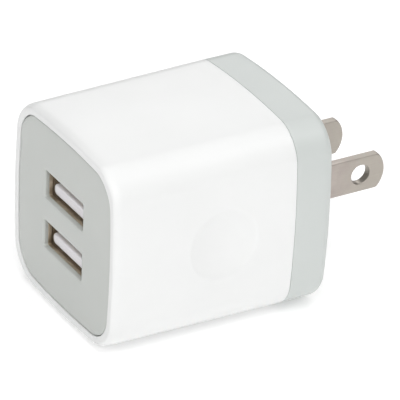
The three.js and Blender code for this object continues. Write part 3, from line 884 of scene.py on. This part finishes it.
def make_blade(node):
    """One blade, cut from flat strip and stood on edge along Y at its frame node's place."""
    low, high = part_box(node)
    hole = arc(HOLE_PLACE, 0, HOLE_RADIUS, np.linspace(0, 2 * math.pi, 41)[:-1])
    bm = flat_part([blade_outline(low, high), hole], high.x - low.x, BLADE_EDGE)
    middle_x, middle_z = (low.x + high.x) / 2, (low.z + high.z) / 2
    stand_up = Matrix(((0, 0, 1, middle_x), (1, 0, 0, 0), (0, 1, 0, middle_z), (0, 0, 0, 1)))
    bmesh.ops.transform(bm, matrix=stand_up, verts=bm.verts)
    piece = new_piece("plated_" + node, mesh_of(bm), nickel)
    finish_piece(piece, nickel, "blade_metal", node)


# ---- Sockets --------------------------------------------------------------------------------

SHEET = 0.3 * MM                           # the shells' steel
SHELL_HALF = 2.56 * MM                     # half a shell's height inside
SHELL_CORNER = 0.45 * MM
SHELL_LENGTH = 13.2 * MM
NECK_FRONT = PLATE_FACE + 0.8 * MM
NECK = (-0.155 * MM, -0.235 * MM)          # how far the mouth's outer and inner faces neck in
# each spring leaf's line, in millimetres behind the mouth and out from the shell's wall
LEAF_LINE = [(9.6, 0.1), (8, 0.05), (4.6, -0.42), (3.9, -0.46), (3.3, -0.3), (2.9, -0.05)]
LEAF_THICK = 0.22 * MM
LEAF_WIDTH = 2.0 * MM
LEAF_PLACE = 3.6 * MM                      # from the socket's middle to each leaf
TONGUE_WIDTH = 11.1 * MM
TONGUE_THICK = 1.94 * MM
TONGUE_CORNER = 0.8 * MM
TONGUE_EASE = 0.32 * MM
TONGUE_CLEAR = 0.75 * MM                   # from the shell's floor to the tongue's underside
BASE_DEPTH = 2.6 * MM
GROOVE_HALF = 0.7 * MM                     # half of a contact groove's width
GROOVE_START = 2.9 * MM                    # from the tongue's tip
GROOVE_DEPTH = 0.3 * MM
CONTACT_INNER = 1.0 * MM                   # from the socket's middle to the nearer contacts
CONTACT_OUTER = 3.5 * MM
CONTACT_THICK = 0.2 * MM
CONTACT_PLACES = [-CONTACT_OUTER, -CONTACT_INNER, CONTACT_INNER, CONTACT_OUTER]


def make_socket_shell(which, height):
    """The folded shell with its rounded lip, and the spring leaves that press on the plug."""
    low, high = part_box(f"usb_shell_{which}")
    width, tall = high.x - low.x - 2 * SHEET, high.z - low.z - 2 * SHEET
    back = low.y + SHELL_LENGTH
    neck_out, neck_in = NECK
    neck_back, neck_root = low.y + 0.2 * MM, low.y + 0.5 * MM
    lip_ease, cut_ease, sheet_ease, fold = 0.02 * MM, 0.03 * MM, 0.05 * MM, 0.12 * MM
    path = filleted([
        (SHEET, back, sheet_ease),
        (SHEET, low.y, fold),
        (neck_out, low.y, lip_ease),
        (neck_out, NECK_FRONT, cut_ease),
        (neck_in, NECK_FRONT, cut_ease),
        (neck_in, neck_back, EASED),
        (0, neck_root, EASED),
        (0, back, sheet_ease),
    ], closed=True)
    bm = bmesh.new()
    middle = (PORT_SIDE, height)
    add_loft(bm, rectangle_rings(bm, width, tall, SHELL_CORNER, path, middle), closed=True)
    for way in (-1, 1):
        line = [(y * MM, way * z * MM) for y, z in LEAF_LINE]
        for x in (-LEAF_PLACE, LEAF_PLACE):
            place = (PORT_SIDE + x, low.y, height + way * tall / 2)
            add_strip(bm, line, LEAF_THICK, LEAF_WIDTH, place)
    tab_half, tab_overlap = MM, 0.6 * MM
    for way in (-1, 1):
        tab_x = PORT_SIDE + way * (width + SHEET) / 2 - SHEET / 2
        tab_low = (tab_x, back - tab_overlap, height - tab_half)
        tab_high = (tab_x + SHEET, high.y, height + tab_half)
        add_box(bm, tab_low, tab_high, sheet_ease)
    piece = new_piece(f"folded_shell_{which}", mesh_of(bm), tin_plate)
    finish_piece(piece, tin_plate, "socket_steel", f"usb_shell_{which}", sharp=40)


def make_tongue(which, height):
    """The nylon tongue with round ends and contact grooves, on its base."""
    low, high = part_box(f"usb_insulator_{which}")
    base_low = (low.x, high.y - BASE_DEPTH, low.z)
    tongue_z = height - SHELL_HALF + TONGUE_CLEAR + TONGUE_THICK / 2
    bm = bmesh.new()
    tip_start, tip_end = (-TONGUE_EASE, low.y), (0, low.y + TONGUE_EASE)
    path = quarter_ellipse(tip_start, tip_end, along_first=True, steps=6)
    path.append((0, high.y - MM))
    middle = (PORT_SIDE, tongue_z)
    add_loft(bm, rectangle_rings(bm, TONGUE_WIDTH, TONGUE_THICK, TONGUE_CORNER, path, middle))
    tongue = new_piece(f"nylon_tongue_{which}", mesh_of(bm), nylon)

    cutters = bmesh.new()
    tongue_top = tongue_z + TONGUE_THICK / 2
    cutter_ease, cutter_rise, base_ease = 0.03 * MM, 0.5 * MM, 0.15 * MM
    for place in CONTACT_PLACES:
        x = PORT_SIDE + place
        groove_low = (x - GROOVE_HALF, low.y + GROOVE_START, tongue_top - GROOVE_DEPTH)
        groove_high = (x + GROOVE_HALF, high.y + MM, tongue_top + cutter_rise)
        add_box(cutters, groove_low, groove_high, cutter_ease)
    cutter = new_piece("grooves", mesh_of(cutters), nylon)
    base = bmesh.new()
    add_box(base, base_low, high, base_ease)
    base_piece = new_piece("base", mesh_of(base), nylon)
    for other, operation in ((base_piece, "UNION"), (cutter, "DIFFERENCE")):
        modifier = tongue.modifiers.new(operation, "BOOLEAN")
        modifier.operation = operation
        modifier.solver = "EXACT"
        modifier.object = other
    work_in_modifiers(tongue)
    for spent in (cutter, base_piece):
        bpy.data.objects.remove(spent)
    finish_piece(tongue, nylon, "socket_plastic", f"usb_insulator_{which}")


def contact_row_tree():
    """Sets one contact at each of four places across the tongue: two near the middle, two outside."""
    numbers = ["Count", "Inner Place", "Outer Place"]
    tree, contact = tree_with_sockets("contact row", numbers)
    value = {name: contact.other(name) for name in numbers}
    number = contact.node("GeometryNodeInputIndex")
    from_middle = number - (value["Count"] - 1) / 2
    side = contact.maths("SIGN", from_middle)
    rank = contact.maths("ABSOLUTE", from_middle) - 0.5
    place = side * (value["Inner Place"] + rank * (value["Outer Place"] - value["Inner Place"]))
    spot = contact.node("ShaderNodeCombineXYZ", inputs={"X": place})
    points = contact.node("GeometryNodePoints", inputs={"Count": value["Count"], "Position": spot})
    row_inputs = {"Points": points, "Instance": contact}
    row = contact.node("GeometryNodeInstanceOnPoints", inputs=row_inputs)
    end_tree(tree, row, contact.other("Material"))
    return tree


def make_contacts(which, contact_row):
    """The four gilt contacts of one socket, sprung up near the tip."""
    nodes = [f"usb_contact_{which}_{i}" for i in range(1, 5)]
    low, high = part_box(nodes[0])
    flat_z = low.z + CONTACT_THICK
    length = high.y - low.y
    line = [(y * MM, z * MM) for y, z in ((0, -0.1), (0.5, 0.02), (1.2, 0.14), (2, 0.1), (3.2, 0))]
    line.append((length, 0))
    width = MM
    bm = bmesh.new()
    add_strip(bm, line, CONTACT_THICK, width, (PORT_SIDE, low.y, flat_z))
    piece = new_piece(f"contact_row_{which}", mesh_of(bm), gilt)
    values = {
        "Count": len(CONTACT_PLACES),
        "Inner Place": CONTACT_INNER,
        "Outer Place": CONTACT_OUTER,
        "Material": gilt,
    }
    run_tree(piece, contact_row, values)
    finish_piece(piece, gilt, "gilt_contact", *nodes, sharp=30)


# ---- Frame nodes that stay as they are ------------------------------------------------------


def dress_frame_nodes():
    """Every frame node that still shows gets the finish of its slot."""
    for entry in frame["record"]["subparts"]:
        node = frame["nodes"][entry["node"]]
        node.data.materials.clear()
        node.data.materials.append(SLOT_FINISHES[entry["material_slot"]])


# ---- Camera, floor and light ----------------------------------------------------------------

CAMERA_AZIMUTH = math.radians(58.24)
CAMERA_ELEVATION = math.radians(29.6)
CAMERA_ROLL = math.radians(2.72)
CAMERA_DISTANCE = 0.59457
CAMERA_SLIDE = (4.66 * MM, -0.32 * MM)     # across and up the picture
CAMERA_LENS = 330.4
CAMERA_REACH = (0.01, 10)                  # the nearest and farthest that it sees

FLOOR_HALF = 4.0
FLOOR_DROP = 0.02 * MM                     # how far the floor lies under the sleeve
FLOOR_GLOW = 0.216
FLOOR_TONES = ((0.93, 0.93, 0.93), (0.95, 0.95, 0.95))
WORLD_STRENGTH = 0.10
LAMPS = [                                  # name, place, size and power
    ("overhead", (0, 0.1, 0.9), 1.0, 5.2),
    ("right", (0.8, -0.25, 0.65), 0.9, 6.1),
    ("front_high", (0.1, -0.8, 0.62), 0.4, 2.15),
    ("right_high", (0.45, 0.6, 0.75), 0.25, 0.8),
    ("back_left", (-0.8, 0.5, 0.5), 0.5, 1.43),
]
AIM = Vector((0, MIDDLE, 0))


def make_camera():
    """The camera, turned by azimuth, elevation and roll about the middle of the body."""
    back = Vector((
        math.sin(CAMERA_AZIMUTH) * math.cos(CAMERA_ELEVATION),
        -math.cos(CAMERA_AZIMUTH) * math.cos(CAMERA_ELEVATION),
        math.sin(CAMERA_ELEVATION),
    ))
    level = Vector((math.cos(CAMERA_AZIMUTH), math.sin(CAMERA_AZIMUTH), 0))
    upright = back.cross(level)
    right = math.cos(CAMERA_ROLL) * level + math.sin(CAMERA_ROLL) * upright
    up = math.cos(CAMERA_ROLL) * upright - math.sin(CAMERA_ROLL) * level
    camera = bpy.data.objects.new("camera", bpy.data.cameras.new("camera"))
    camera.data.lens = CAMERA_LENS
    camera.data.clip_start, camera.data.clip_end = CAMERA_REACH
    axes = Matrix((right, up, back)).transposed().to_4x4()
    place = AIM + back * CAMERA_DISTANCE + right * CAMERA_SLIDE[0] + up * CAMERA_SLIDE[1]
    camera.matrix_world = Matrix.Translation(place) @ axes
    bpy.context.scene.collection.objects.link(camera)
    bpy.context.scene.camera = camera


def make_floor():
    """A wide pale floor just under the sleeve."""
    finish = Finish("pale_floor", Roughness=0.9)
    finish.set(Base_Color=finish.blend(finish.noise(3, 2), *FLOOR_TONES))
    finish.surface.inputs["Emission Color"].default_value = (1, 1, 1, 1)
    finish.surface.inputs["Emission Strength"].default_value = FLOOR_GLOW
    bottom = cad_low.z - FLOOR_DROP
    ways = ((-1, -1), (1, -1), (1, 1), (-1, 1))
    mesh = bpy.data.meshes.new("floor")
    mesh.from_pydata([(x * FLOOR_HALF, y * FLOOR_HALF, bottom) for x, y in ways], [], [(0, 1, 2, 3)])
    floor = new_piece("floor", mesh, finish.material)


def make_light(name, place, size, power):
    """A soft square lamp aimed at the middle of the body."""
    lamp = bpy.data.objects.new(name, bpy.data.lights.new(name, "AREA"))
    lamp.data.size = size
    lamp.data.energy = power
    lamp.location = Vector(place)
    lamp.rotation_euler = (lamp.location - AIM).to_track_quat("Z", "Y").to_euler()
    bpy.context.scene.collection.objects.link(lamp)


def make_surroundings():
    """A faint even sky and the lamps."""
    world = bpy.data.worlds.new("studio")
    world.use_nodes = True
    sky = world.node_tree.nodes["Background"]
    sky.inputs["Color"].default_value = (1, 1, 1, 1)
    sky.inputs["Strength"].default_value = WORLD_STRENGTH
    bpy.context.scene.world = world
    for name, place, size, power in LAMPS:
        make_light(name, place, size, power)


# ---- The charger, piece by piece ------------------------------------------------------------

bpy.context.scene.view_settings.view_transform = "Standard"
make_camera()
make_floor()
make_surroundings()
make_sleeve()
make_plate()
make_cap()
for blade_node in ("blade_left", "blade_right"):
    make_blade(blade_node)
contact_row = contact_row_tree()
for which_socket, socket_height in zip(("upper", "lower"), PORT_HEIGHTS):
    make_socket_shell(which_socket, socket_height)
    make_tongue(which_socket, socket_height)
    make_contacts(which_socket, contact_row)
dress_frame_nodes()
